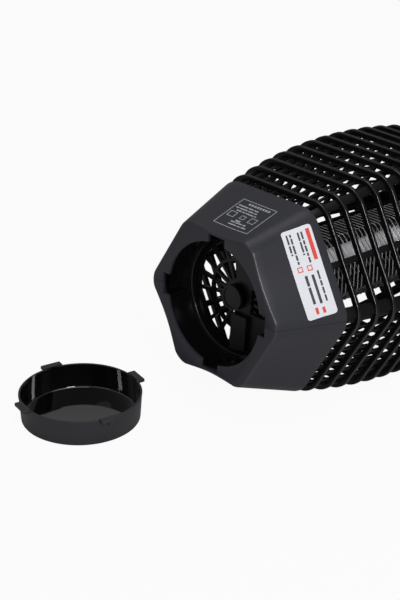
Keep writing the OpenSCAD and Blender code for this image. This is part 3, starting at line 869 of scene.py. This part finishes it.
@dataclass
class Print:
    """Plain bars and frames printed on a surface. Sizes are in millimetres, on the drawing."""

    name: str
    finish: Plastic
    slot: str
    lines: tuple[Line, ...] = ()
    frames: tuple[tuple[float, float, float, float], ...] = ()
    stroke: float = 0.6
    ink: float = 0.05 * MM
    bend: float = 4.0 * MM
    reach: float = 40.0 * MM

    def strokes(self) -> list[tuple[float, float, float, float]]:
        """Every stroke, as the corners (x0, y0, x1, y1) of a rectangle."""
        made = [(x - line.height / 2, a, x + line.height / 2, b) for line in self.lines
                for a, b, x in line.bars()]
        half = self.stroke / 2
        for x0, y0, x1, y1 in self.frames:
            made += [(x - half, y0 - half, x + half, y1 + half) for x in (x0, x1)]
            made += [(x0 + half, y - half, x1 - half, y + half) for y in (y0, y1)]
        return made

    def build(self, place: BodyFrame, spot: Matrix, onto: bpy.types.Object) -> None:
        """Prints the drawing on a laid-down piece, at a spot in the body's frame."""
        pieces = []
        for x0, y0, x1, y1 in self.strokes():
            middle = ((x0 + x1) / 2 * MM, (y0 + y1) / 2 * MM)
            pieces.append(Bench.sheet("bar", (x1 - x0) * MM, (y1 - y0) * MM, at=middle))
        print_ = Bench.join(pieces, self.name)
        Bench.strip(print_, self.bend, self.reach)
        print_.data.transform(place.matrix() @ spot @ Bench.CLEAR)
        Bench.stick(print_, onto, self.ink, self.ink)
        place.finish(print_, self.finish, self.slot, laid=True)


@dataclass
class Sticker:
    """The white sticker on the open side's face of the base, with plain printed lines."""

    base: Base
    length: float = 69.6 * MM
    width: float = 25.8 * MM
    corner: float = 2.5 * MM
    along: float = 0.66
    shift: float = -1.3 * MM
    thick: float = 0.12 * MM
    lift: float = 0.04 * MM
    bend: float = 3.0 * MM
    reach: float = 34.0 * MM
    side: float = 150.0

    def build(self, place: BodyFrame, onto: bpy.types.Object) -> None:
        """Lays the sticker on the shell and prints it."""
        spot = (self.base.face(self.side, self.along * self.base.length)
                @ Matrix.Translation((0, self.shift, 0)))
        paper = Bench.sheet("sticker", self.width, self.length, self.corner)
        Bench.strip(paper, self.bend, self.reach)
        paper.data.transform(place.matrix() @ spot @ Bench.CLEAR)
        Bench.stick(paper, onto, self.lift, self.thick)
        place.finish(paper, PAPER, "label", "rating_label", laid=True)
        Print("sticker_heading", RED_INK, "label", (
            Line(-9.0, -31.5, -7.5, 3.2, words=(24.0,)),
            Line(3.4, 26.5, 31.5, 2.4, words=(5.0,)), Line(-2.4, 27.5, 32.0, 2.4, words=(4.5,)),
        ), frames=((-3.4, -4.6, 0.2, -1.2), (4.6, -5.2, 8.2, -1.8)), stroke=0.7).build(place, spot, paper)
        Print("sticker_lines", BLACK_INK, "label", (
            Line(-3.6, -30.5, -6.5, 1.5), Line(-0.6, -30.5, -13.0, 1.5, words=(6.5, 8.0)),
            Line(6.0, -31.0, -7.5, 1.5, words=(2.6, 4.4, 6.6, 4.2)),
            Line(9.0, -31.0, -15.0, 1.5, words=(7.6, 5.4)),
            Line(-7.0, 0.5, 24.0, 1.5, words=(6.8, 4.2, 5.0)), Line(-2.0, 2.5, 25.0, 2.2, words=(22.0,)),
            Line(3.6, 2.0, 24.5, 2.2, words=(8.0, 12.8)),
        )).build(place, spot, paper)


@dataclass
class PadPrint:
    """The light grey printing on the top of the base: a frame round plain lines."""

    base: Base
    along: float = 25.5 * MM
    shift: float = 4.0 * MM
    side: float = 90.0

    def build(self, place: BodyFrame, onto: bpy.types.Object) -> None:
        """Prints the frame and the lines on the shell."""
        spot = self.base.face(self.side, self.along) @ Matrix.Translation((0, self.shift, 0))
        Print("pad_print", PAD_PRINT, "label", (
            Line(-13.2, -8.5, 13.5, 2.2, words=(1.9,)), Line(-9.0, -15.0, 5.0, 1.3, words=(9.0, 5.0, 7.0)),
            Line(-6.0, -15.0, 7.0, 1.3, words=(3.0, 7.5, 5.0)),
            Line(-3.0, -12.0, 8.0, 1.3, words=(5.0, 2.6, 8.0)),
            Line(7.4, -3.5, 1.5, 1.6, words=(5.0,)), Line(9.6, -6.0, 9.0, 1.3, words=(4.0, 6.0)),
            Line(12.6, -6.0, 11.5, 1.3, words=(8.0, 3.0, 6.0)),
        ), frames=((-16.6, -17.2, 16.6, 17.2), (-0.6, -14.5, 5.2, -8.4), (0.4, -2.6, 4.4, 1.4),
                   (-0.4, 6.6, 5.4, 12.4))).build(place, spot, onto)


@dataclass
class Cap(HexShell):
    """The top cap, with the hole for the gland."""

    start: float = 0.0
    gland_r: float = 7.0 * MM

    def build(self, place: BodyFrame) -> None:
        """Builds and dresses both halves."""
        whole = self.shell("cap_half")
        end = self.start + self.length
        whole.data.transform(Matrix.Translation((0, 0, end)) @ Matrix.Rotation(math.pi, 4, "X"))
        Bench.cut(whole, Bench.rod("gland_cutter", self.gland_r, end - 5 * MM, end + 2 * MM, sides=48))
        self.part(whole, place, "cap")


@dataclass
class Cage:
    """Hoops, slats, middle bars and corner posts, in two halves that are alike."""

    barrel: Barrel
    hoop_w: float = 3.2 * MM
    hoop_depth: float = 4.8 * MM
    slat_w: float = 2.6 * MM
    slat_t: float = 1.7 * MM
    slat_pitch: float = 9.4 * MM
    slats: int = 8
    mid_w: float = 5.0 * MM
    post_w: float = 7.0 * MM
    post_t: float = 3.4 * MM
    strip_w: float = 12.0 * MM
    strip_edge: float = 3.0 * MM
    seam: float = 0.1 * MM

    def hoop(self, number: int) -> bpy.types.Object:
        """One hoop: a hexagonal band with round corners, given its depth and soft edges."""
        z = self.barrel.first_hoop + number * self.barrel.pitch
        obj = Bench.hexagon("hoop", self.barrel.radius(z), z - self.hoop_w / 2)
        tangent = self.barrel.corner * math.tan(SLANT)
        with Bench.edit():
            bpy.ops.mesh.extrude_region_move(TRANSFORM_OT_translate={"value": (0, 0, self.hoop_w)})
            Bench.pick(obj, Part.FACES, lambda face: abs(face.normal.z) > 0.9)
            bpy.ops.mesh.delete(type="FACE")
            Bench.pick(obj, Part.EDGES, corner_test)
            bpy.ops.mesh.bevel(offset_type="OFFSET", offset=tangent, segments=8, affect="EDGES")
        Bench.modify(obj, "SOLIDIFY", thickness=self.hoop_depth, offset=-1, use_even_offset=True)
        Bench.outward(obj)
        Bench.modify(obj, "BEVEL", width=0.6 * MM, segments=3, limit_method="ANGLE",
                     angle_limit=math.radians(50))
        for finish in (CAGE, CAGE_EDGE_HIGHLIGHT):
            obj.data.materials.append(finish.material())
        # The outer bevels that face the mouth take the lighter copy, a painted highlight along each hoop's
        # front edge.
        for face in obj.data.polygons:
            outward = face.normal.dot(Vector((face.center.x, face.center.y, 0)).normalized())
            face.material_index = int(face.normal.z < -0.2 and outward > 0.2)
        return obj

    def bar(self, name: str, width: float, thick: float, face: Callable[[float], float]) -> bpy.types.Object:
        """A bar along the body whose outer face follows the barrel.

        Args:
            name: The object's name.
            width: Width across.
            thick: Thickness, inwards from the outer face.
            face: Distance of the outer face from the axis, at a distance from the mouth.

        Returns:
            The bar, over +X.
        """
        low, high = self.barrel.base_len, self.barrel.cap_z()
        obj = Bench.block(name, (-thick, -width / 2, low), (0, width / 2, high))
        with Bench.edit():
            Bench.pick(obj, Part.EDGES, corner_test)
            bpy.ops.mesh.subdivide(number_cuts=2 * self.barrel.hoops)
        for vert in obj.data.vertices:
            vert.co.x += face(vert.co.z)
        Bench.bevel(obj, EASED, segments=2, angle=40)
        obj.data.materials.append(CAGE.material())
        return obj

    def seam_strip(self, inset: float) -> bpy.types.Object:
        """The strip that closes the open side beside the seam, over +X."""
        obj = self.bar("seam_strip", self.strip_w - self.strip_edge, self.slat_t,
                       lambda z: self.barrel.flat(z) - inset)
        for vert in obj.data.vertices:
            vert.co.y += (self.barrel.radius(vert.co.z) - self.strip_w - self.strip_edge) / 2
        return obj

    def half(self) -> bpy.types.Object:
        """The upper half: a close-barred side, the top, and the open side with its middle bar."""
        inset = self.hoop_depth - self.slat_t
        slat = self.bar("slat", self.slat_w, self.slat_t, lambda z: self.barrel.flat(z) - inset)
        middle = self.bar("middle_bar", self.mid_w, self.slat_t, lambda z: self.barrel.flat(z) - inset)
        blunt = 1 / math.cos(SLANT)
        corner = self.hoop_depth * blunt + (self.barrel.corner - self.hoop_depth) * (blunt - 1) - self.slat_t
        post = self.bar("post", self.post_w, self.post_t, lambda z: self.barrel.radius(z) - corner)
        seam_post = self.bar("seam_post", self.post_w / 2 - self.seam, self.post_t,
                             lambda z: self.barrel.radius(z) - corner)
        hoops = Bench.join([self.hoop(k) for k in range(self.barrel.hoops)], "hoops")
        Bench.halve(hoops, self.seam)
        pieces = [hoops]
        for turn in (30, 90):
            for k in range(self.slats):
                shift = Matrix.Translation((0, (k - (self.slats - 1) / 2) * self.slat_pitch, 0))
                pieces.append(Bench.copy(slat, "slat", about_axis(turn) @ shift))
        strip = self.seam_strip(inset)
        for start in (middle, strip):
            pieces.append(Bench.copy(start, "open_side", about_axis(150)))
        for turn in (60, 120):
            pieces.append(Bench.copy(post, "post", about_axis(turn)))
        shift = self.post_w / 4 + self.seam / 2
        for turn, sign in ((0, 1), (180, -1)):
            spin = about_axis(turn) @ Matrix.Translation((0, sign * shift, 0))
            pieces.append(Bench.copy(seam_post, "post", spin))
        for start in (slat, middle, strip, post, seam_post):
            bpy.data.objects.remove(start, do_unlink=True)
        return Bench.join(pieces, "cage_half")

    def build(self, place: BodyFrame) -> None:
        """Builds and dresses both halves."""
        place.halves(self.half(), CAGE, "cage", "cage_{}_half", "cage_{}")


@dataclass
class Socket:
    """The tray's socket: a turned wall with a step and a collar, and four channels."""

    inner_r: float = 48.6 * MM
    wall: float = 2.4 * MM
    front: float = 2.4 * MM
    step_z: float = 23.0 * MM
    floor_z: float = 28.0 * MM
    step: float = 3.0 * MM
    notch_r: float = 54.2 * MM
    notch_w: float = 17.3 * MM
    track_h: float = 4.0 * MM
    back: float = 1.6 * MM

    @staticmethod
    def arms(start: float, end: float, half: float) -> list[tuple[Spot, Spot]]:
        """The plan of four arms that point away from the axis.

        Args:
            start: Where they start, as a distance from the axis.
            end: Where they end.
            half: Half their width.

        Returns:
            Two corners of each.
        """
        along_x = [((sign * start, -half), (sign * end, half)) for sign in (-1, 1)]
        along_y = [((-half, sign * start), (half, sign * end)) for sign in (-1, 1)]
        return along_x + along_y

    def build(self, place: BodyFrame) -> None:
        """Builds the socket and dresses it."""
        r, out, top = self.inner_r, self.inner_r + self.wall, self.step_z - 2 * MM
        band, lip = self.notch_r + self.back, self.inner_r - self.step
        wall = Bench.turned("tray_socket_wall", [
            (r, self.front), (out, self.front), (out, top - self.track_h - 2 * MM),
            (band, top - self.track_h - 2 * MM), (band, top + 2 * MM), (out, top + 2 * MM),
            (out, self.floor_z), (lip, self.floor_z), (lip, self.step_z + 0.7 * MM),
            (lip + 0.7 * MM, self.step_z), (r, self.step_z)])
        half, back = self.notch_w / 2, self.back
        for start, end in self.arms(r, self.notch_r + back, half + back):
            block = Bench.block("channel_back", (*start, self.front + 6 * MM), (*end, top))
            Bench.cut(wall, block, "UNION")
        for start, end in self.arms(30 * MM, self.notch_r, half):
            Bench.cut(wall, Bench.block("channel", (*start, 0), (*end, top)))
        Bench.bevel(wall, 0.4 * MM, segments=2, angle=40)
        place.finish(wall, INNER, "inner", "tray_socket")


@dataclass
class GridWire:
    """The two bright wires, wound side by side round the grid's posts."""

    post_circle: float = 28.0 * MM
    post_r: float = 2.4 * MM
    radius: float = 0.45 * MM
    fit: float = 0.05 * MM
    posts: int = 8
    turns: int = 22
    pitch: float = 9.4 * MM
    start: float = 67.45 * MM

    def path(self, low: float) -> list[Vector]:
        """The wire's points: at each post it bends round the post's outer side."""
        half = math.pi / self.posts
        bend = self.post_r + self.radius + self.fit
        points = []
        for k in range(self.turns * self.posts + 1):
            angle = half * (2 * k + 1)
            post = self.post_circle * sideways(angle)
            for share in (-1, 0, 1):
                rise = self.pitch * (k + 0.05 * share) / self.posts
                points.append(post + bend * sideways(angle + share * half) + Vector((0, 0, low + rise)))
        return points

    def wind(self, name: str, low: float) -> bpy.types.Object:
        """One wire as a round tube."""
        Bench.clear()
        bpy.ops.curve.primitive_nurbs_path_add()
        curve = bpy.context.active_object.data
        curve.splines.clear()
        points = self.path(low)
        spline = curve.splines.new("POLY")
        spline.points.add(len(points) - 1)
        for spot, point in zip(spline.points, points):
            spot.co = (*point, 1)
        curve.dimensions = "3D"
        curve.bevel_depth = self.radius
        curve.bevel_resolution = 1
        curve.use_fill_caps = True
        bpy.ops.object.convert(target="MESH")
        obj = Bench.take(name)
        Bench.outward(obj)
        return obj

    def build(self, place: BodyFrame) -> None:
        """Winds and dresses both wires."""
        for name, low in (("a", self.start), ("b", self.start + self.pitch / 2)):
            place.finish(self.wind(f"grid_wire_{name}", low), WIRE, "grid_wire", f"hv_wire_{name}")


@dataclass
class Tray:
    """The collection tray, standing on its foot beside the mouth, with four bayonet lugs."""

    rim_r: float = 48.0 * MM
    foot_r: float = 46.4 * MM
    height: float = 21.5 * MM
    wall: float = 1.6 * MM
    lug_w: float = 16.6 * MM
    lug_r: float = 53.0 * MM
    lug_t: float = 2.6 * MM
    lug_rise: float = 0.9 * MM
    fillet: float = 1.2 * MM
    turn: float = -14.0

    def cup(self) -> bpy.types.Object:
        """The turned cup, with a round foot edge, a rim bead and a dished floor."""
        foot, rim, wall, high = self.foot_r, self.rim_r, self.wall, self.height
        arc = [(foot - 1.2 * MM + 1.2 * MM * math.sin(a), 1.2 * MM - 1.2 * MM * math.cos(a))
               for a in [math.pi / 2 * k / 4 for k in range(5)]]
        inner = foot - wall
        sweep = [(inner - self.fillet * (1 - math.cos(a)), wall + self.fillet * (1 - math.sin(a)))
                 for a in [math.pi / 2 * k / 5 for k in range(6)]]
        profile = [(0, 0), *arc,
                   (rim - 0.2 * MM, high - 1.2 * MM), (rim, high - 1.0 * MM), (rim, high - 0.4 * MM),
                   (rim - 0.4 * MM, high), (rim - wall + 0.4 * MM, high), (rim - wall, high - 0.4 * MM),
                   *sweep, (0, wall)]
        return Bench.turned("tray_cup", profile, steps=144, closed=False)

    def lug(self) -> bpy.types.Object:
        """One lug with its gusset, over +X."""
        top = self.height + self.lug_rise
        plate = Bench.block("lug", (self.rim_r - self.wall, -self.lug_w / 2, top - self.lug_t),
                            (self.lug_r, self.lug_w / 2, top))
        for vert in plate.data.vertices:
            if vert.co.x > self.rim_r:
                vert.co.x = math.sqrt(self.lug_r ** 2 - vert.co.y ** 2)
        gusset = Bench.block("gusset", (self.rim_r - self.wall * 0.5, -1.1 * MM, top - 6.5 * MM),
                             (self.rim_r + 1.6 * MM, 1.1 * MM, top - self.lug_t + 0.2 * MM))
        lug = Bench.join([plate, gusset], "lug")
        Bench.bevel(lug, EASED, segments=2, angle=40)
        return lug

    def build(self, place: BodyFrame) -> None:
        """Builds the tray and dresses it."""
        lug = self.lug()
        pieces = [self.cup()]
        for k in range(4):
            pieces.append(Bench.copy(lug, "lug", about_axis(self.turn + 90 * k)))
        bpy.data.objects.remove(lug, do_unlink=True)
        tray = Bench.join(pieces, "tray")
        for finish in (TRAY, TRAY_INSIDE):
            tray.data.materials.append(finish.material())
        for face in tray.data.polygons:
            inside = math.hypot(face.center.x, face.center.y) < self.rim_r - 0.9 * self.wall
            face.material_index = int(inside and face.center.z > 0.9 * self.wall)
        place.finish(tray, TRAY, "tray", "collection_tray", body="tray", laid=True)


@dataclass
class Bail:
    """The hanging bail: a bent rod with its two pivots."""

    rod_r: float = 3.0 * MM
    half_w: float = 44.0 * MM
    arm: float = 16.0 * MM
    pivot_r: float = 2.2 * MM
    pivot_len: float = 10.4 * MM

    def build(self, place: BodyFrame) -> None:
        """Bends the rod below its pivots and dresses it."""
        low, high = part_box("bail")
        pivot = Vector(((low.x + high.x) / 2, (low.y + high.y) / 2, high.z - self.rod_r))
        Bench.clear()
        bpy.ops.mesh.primitive_circle_add(vertices=20, radius=self.rod_r, fill_type="NOTHING",
                                          location=(0, self.half_w, -self.arm))
        rod = Bench.take("bail_rod")
        with Bench.edit():
            bpy.ops.mesh.spin(steps=48, angle=math.pi, center=(0, 0, -self.arm), axis=(1, 0, 0))
            for sign in (-1, 1):
                Bench.pick(rod, Part.EDGES, lambda edge, s=sign: edge.is_boundary
                           and edge.verts[0].co.y * s > 0)
                bpy.ops.mesh.extrude_region_move(TRANSFORM_OT_translate={"value": (0, 0, self.arm)})
                bpy.ops.mesh.edge_face_add()
        Bench.outward(rod)
        Bench.bevel(rod, 1.2 * MM, segments=4, angle=60)
        pieces = [rod]
        for sign in (-1, 1):
            pin = Bench.rod("pivot", self.pivot_r, 0, self.pivot_len, sides=24)
            Bench.bevel(pin, 0.4 * MM, segments=2)
            pin.data.transform(Matrix.Translation((0, sign * self.half_w, 0))
                               @ Matrix.Rotation(-sign * math.pi / 2, 4, "X"))
            pieces.append(pin)
        bail = Bench.join(pieces, "bail_rod")
        bail.data.transform(Matrix.Translation(pivot))
        place.finish(bail, HANDLE, "handle", "bail", body="bail", laid=True)


@dataclass
class Studio:
    """The pale floor, the soft lights and the camera."""

    camera_at: Vector = Vector((-0.8830, -1.0310, 0.7582))
    camera_to: Vector = Vector((0.2106, 0.0824, 0.0))
    lens: float = 119.6
    floor_grey: float = 0.62
    floor_glow: float = 0.94
    sky: float = 0.28

    def backdrop(self) -> None:
        """A white floor that fills the view."""
        Bench.clear()
        bpy.ops.mesh.primitive_plane_add(size=40)
        floor = Bench.take("floor")
        made = bpy.data.materials.new("studio floor")
        made.use_nodes = True
        floor.data.materials.append(made)
        add, tree = Effects.add, made.node_tree
        shader = Effects.feed(tree, tree.nodes["Principled BSDF"], {
            "Base Color": (*[self.floor_grey] * 3, 1), "Roughness": 0.9, "Specular IOR Level": 0.1})
        seen = add(tree, "LightPath").outputs["Is Camera Ray"]
        share = add(tree, "Math", {0: seen, 1: self.floor_glow}, operation="MULTIPLY")
        white = add(tree, "Emission", {"Color": (1, 1, 1, 1)})
        mix = add(tree, "MixShader", {
            "Fac": share.outputs[0], 1: shader.outputs["BSDF"], 2: white.outputs["Emission"]})
        Effects.feed(tree, tree.nodes["Material Output"], {"Surface": mix.outputs["Shader"]})

    def light(self, name: str, at: Sequence[float], to: Sequence[float], size: float, power: float) -> None:
        """A square soft lamp that faces a point."""
        data = bpy.data.lights.new(name, "AREA")
        data.shape = "SQUARE"
        data.size = size
        data.energy = power
        lamp = bpy.data.objects.new(name, data)
        lamp.location = at
        lamp.rotation_euler = (Vector(to) - Vector(at)).to_track_quat("-Z", "Y").to_euler()
        bpy.context.collection.objects.link(lamp)

    def build(self) -> None:
        """Sets up the whole studio."""
        self.backdrop()
        world = bpy.data.worlds.new("studio")
        bpy.context.scene.world = world
        world.use_nodes = True
        tree = world.node_tree
        Effects.feed(tree, tree.nodes["Background"], {"Color": (1, 1, 1, 1), "Strength": self.sky})
        centre = (0.2, -0.06, 0.08)
        self.light("key", (-0.6, -1.54, 0.95), centre, 0.5, 19)
        self.light("fill", (-1.5, -0.1, 0.8), centre, 1.0, 1.5)
        self.light("top", (0.3, 0.0, 1.8), centre, 0.8, 6.5)
        data = bpy.data.cameras.new("camera")
        data.lens = self.lens
        data.sensor_width = 36
        data.clip_end = 50
        camera = bpy.data.objects.new("camera", data)
        camera.location = self.camera_at
        look = self.camera_to - self.camera_at
        camera.rotation_euler = look.to_track_quat("-Z", "Y").to_euler()
        bpy.context.collection.objects.link(camera)
        bpy.context.scene.camera = camera
        bpy.context.scene.view_settings.view_transform = "Standard"


@dataclass
class Fittings:
    """The pieces that keep their CAD shapes, each with its own finish."""

    nodes: dict

    def dress(self) -> None:
        """Gives every kept piece its finish."""
        finishes = {
            "floor_grille": INNER, "hub_cap": COVER, "wiring_cover": COVER, "top_deck": INNER,
            "bail_brackets": HANDLE, "cable_gland": RUBBER, "gland_nut": INNER,
            "grid_ring_lower": INSULATOR, "grid_ring_upper": INSULATOR, "grid_posts": INSULATOR,
            "lamp_tube": LAMP_GLASS, "lamp_end_caps": CAP_METAL,
            "lamp_holder_lower": INSULATOR, "lamp_holder_upper": INSULATOR, "circuit_board": BOARD,
            "transformer_core": LAMINATIONS, "transformer_coil": WINDING, "capacitors": SLEEVE,
            "case_screws": SCREW, "lamp_shield": INSULATOR,
        }
        for name, finish in finishes.items():
            mesh = self.nodes[name].data
            mesh.materials.clear()
            mesh.materials.append(finish.material())
            LOG.info("%s: %s", name, finish.name)


def main() -> None:
    """Builds every sub-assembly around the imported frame."""
    logging.basicConfig(level=logging.INFO, format="%(message)s")
    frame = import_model()
    place = BodyFrame.from_record(frame["record"])
    barrel = Barrel()
    Studio().build()
    base = Base(barrel, barrel.base_len, 67.6 * MM, barrel.radius(barrel.base_len), dip=2.2 * MM)
    base.build(place)
    upper = bpy.data.objects["base_upper"]
    Sticker(base).build(place, upper)
    PadPrint(base).build(place, upper)
    cap_z = barrel.cap_z()
    Cap(barrel, 45.0 * MM, 67.0 * MM, barrel.radius(cap_z), 1.2 * MM, start=cap_z).build(place)
    Cage(barrel).build(place)
    Socket().build(place)
    GridWire().build(place)
    Tray().build(place)
    Bail().build(place)
    Fittings(frame["nodes"]).dress()


if __name__ == "__main__":
    main()
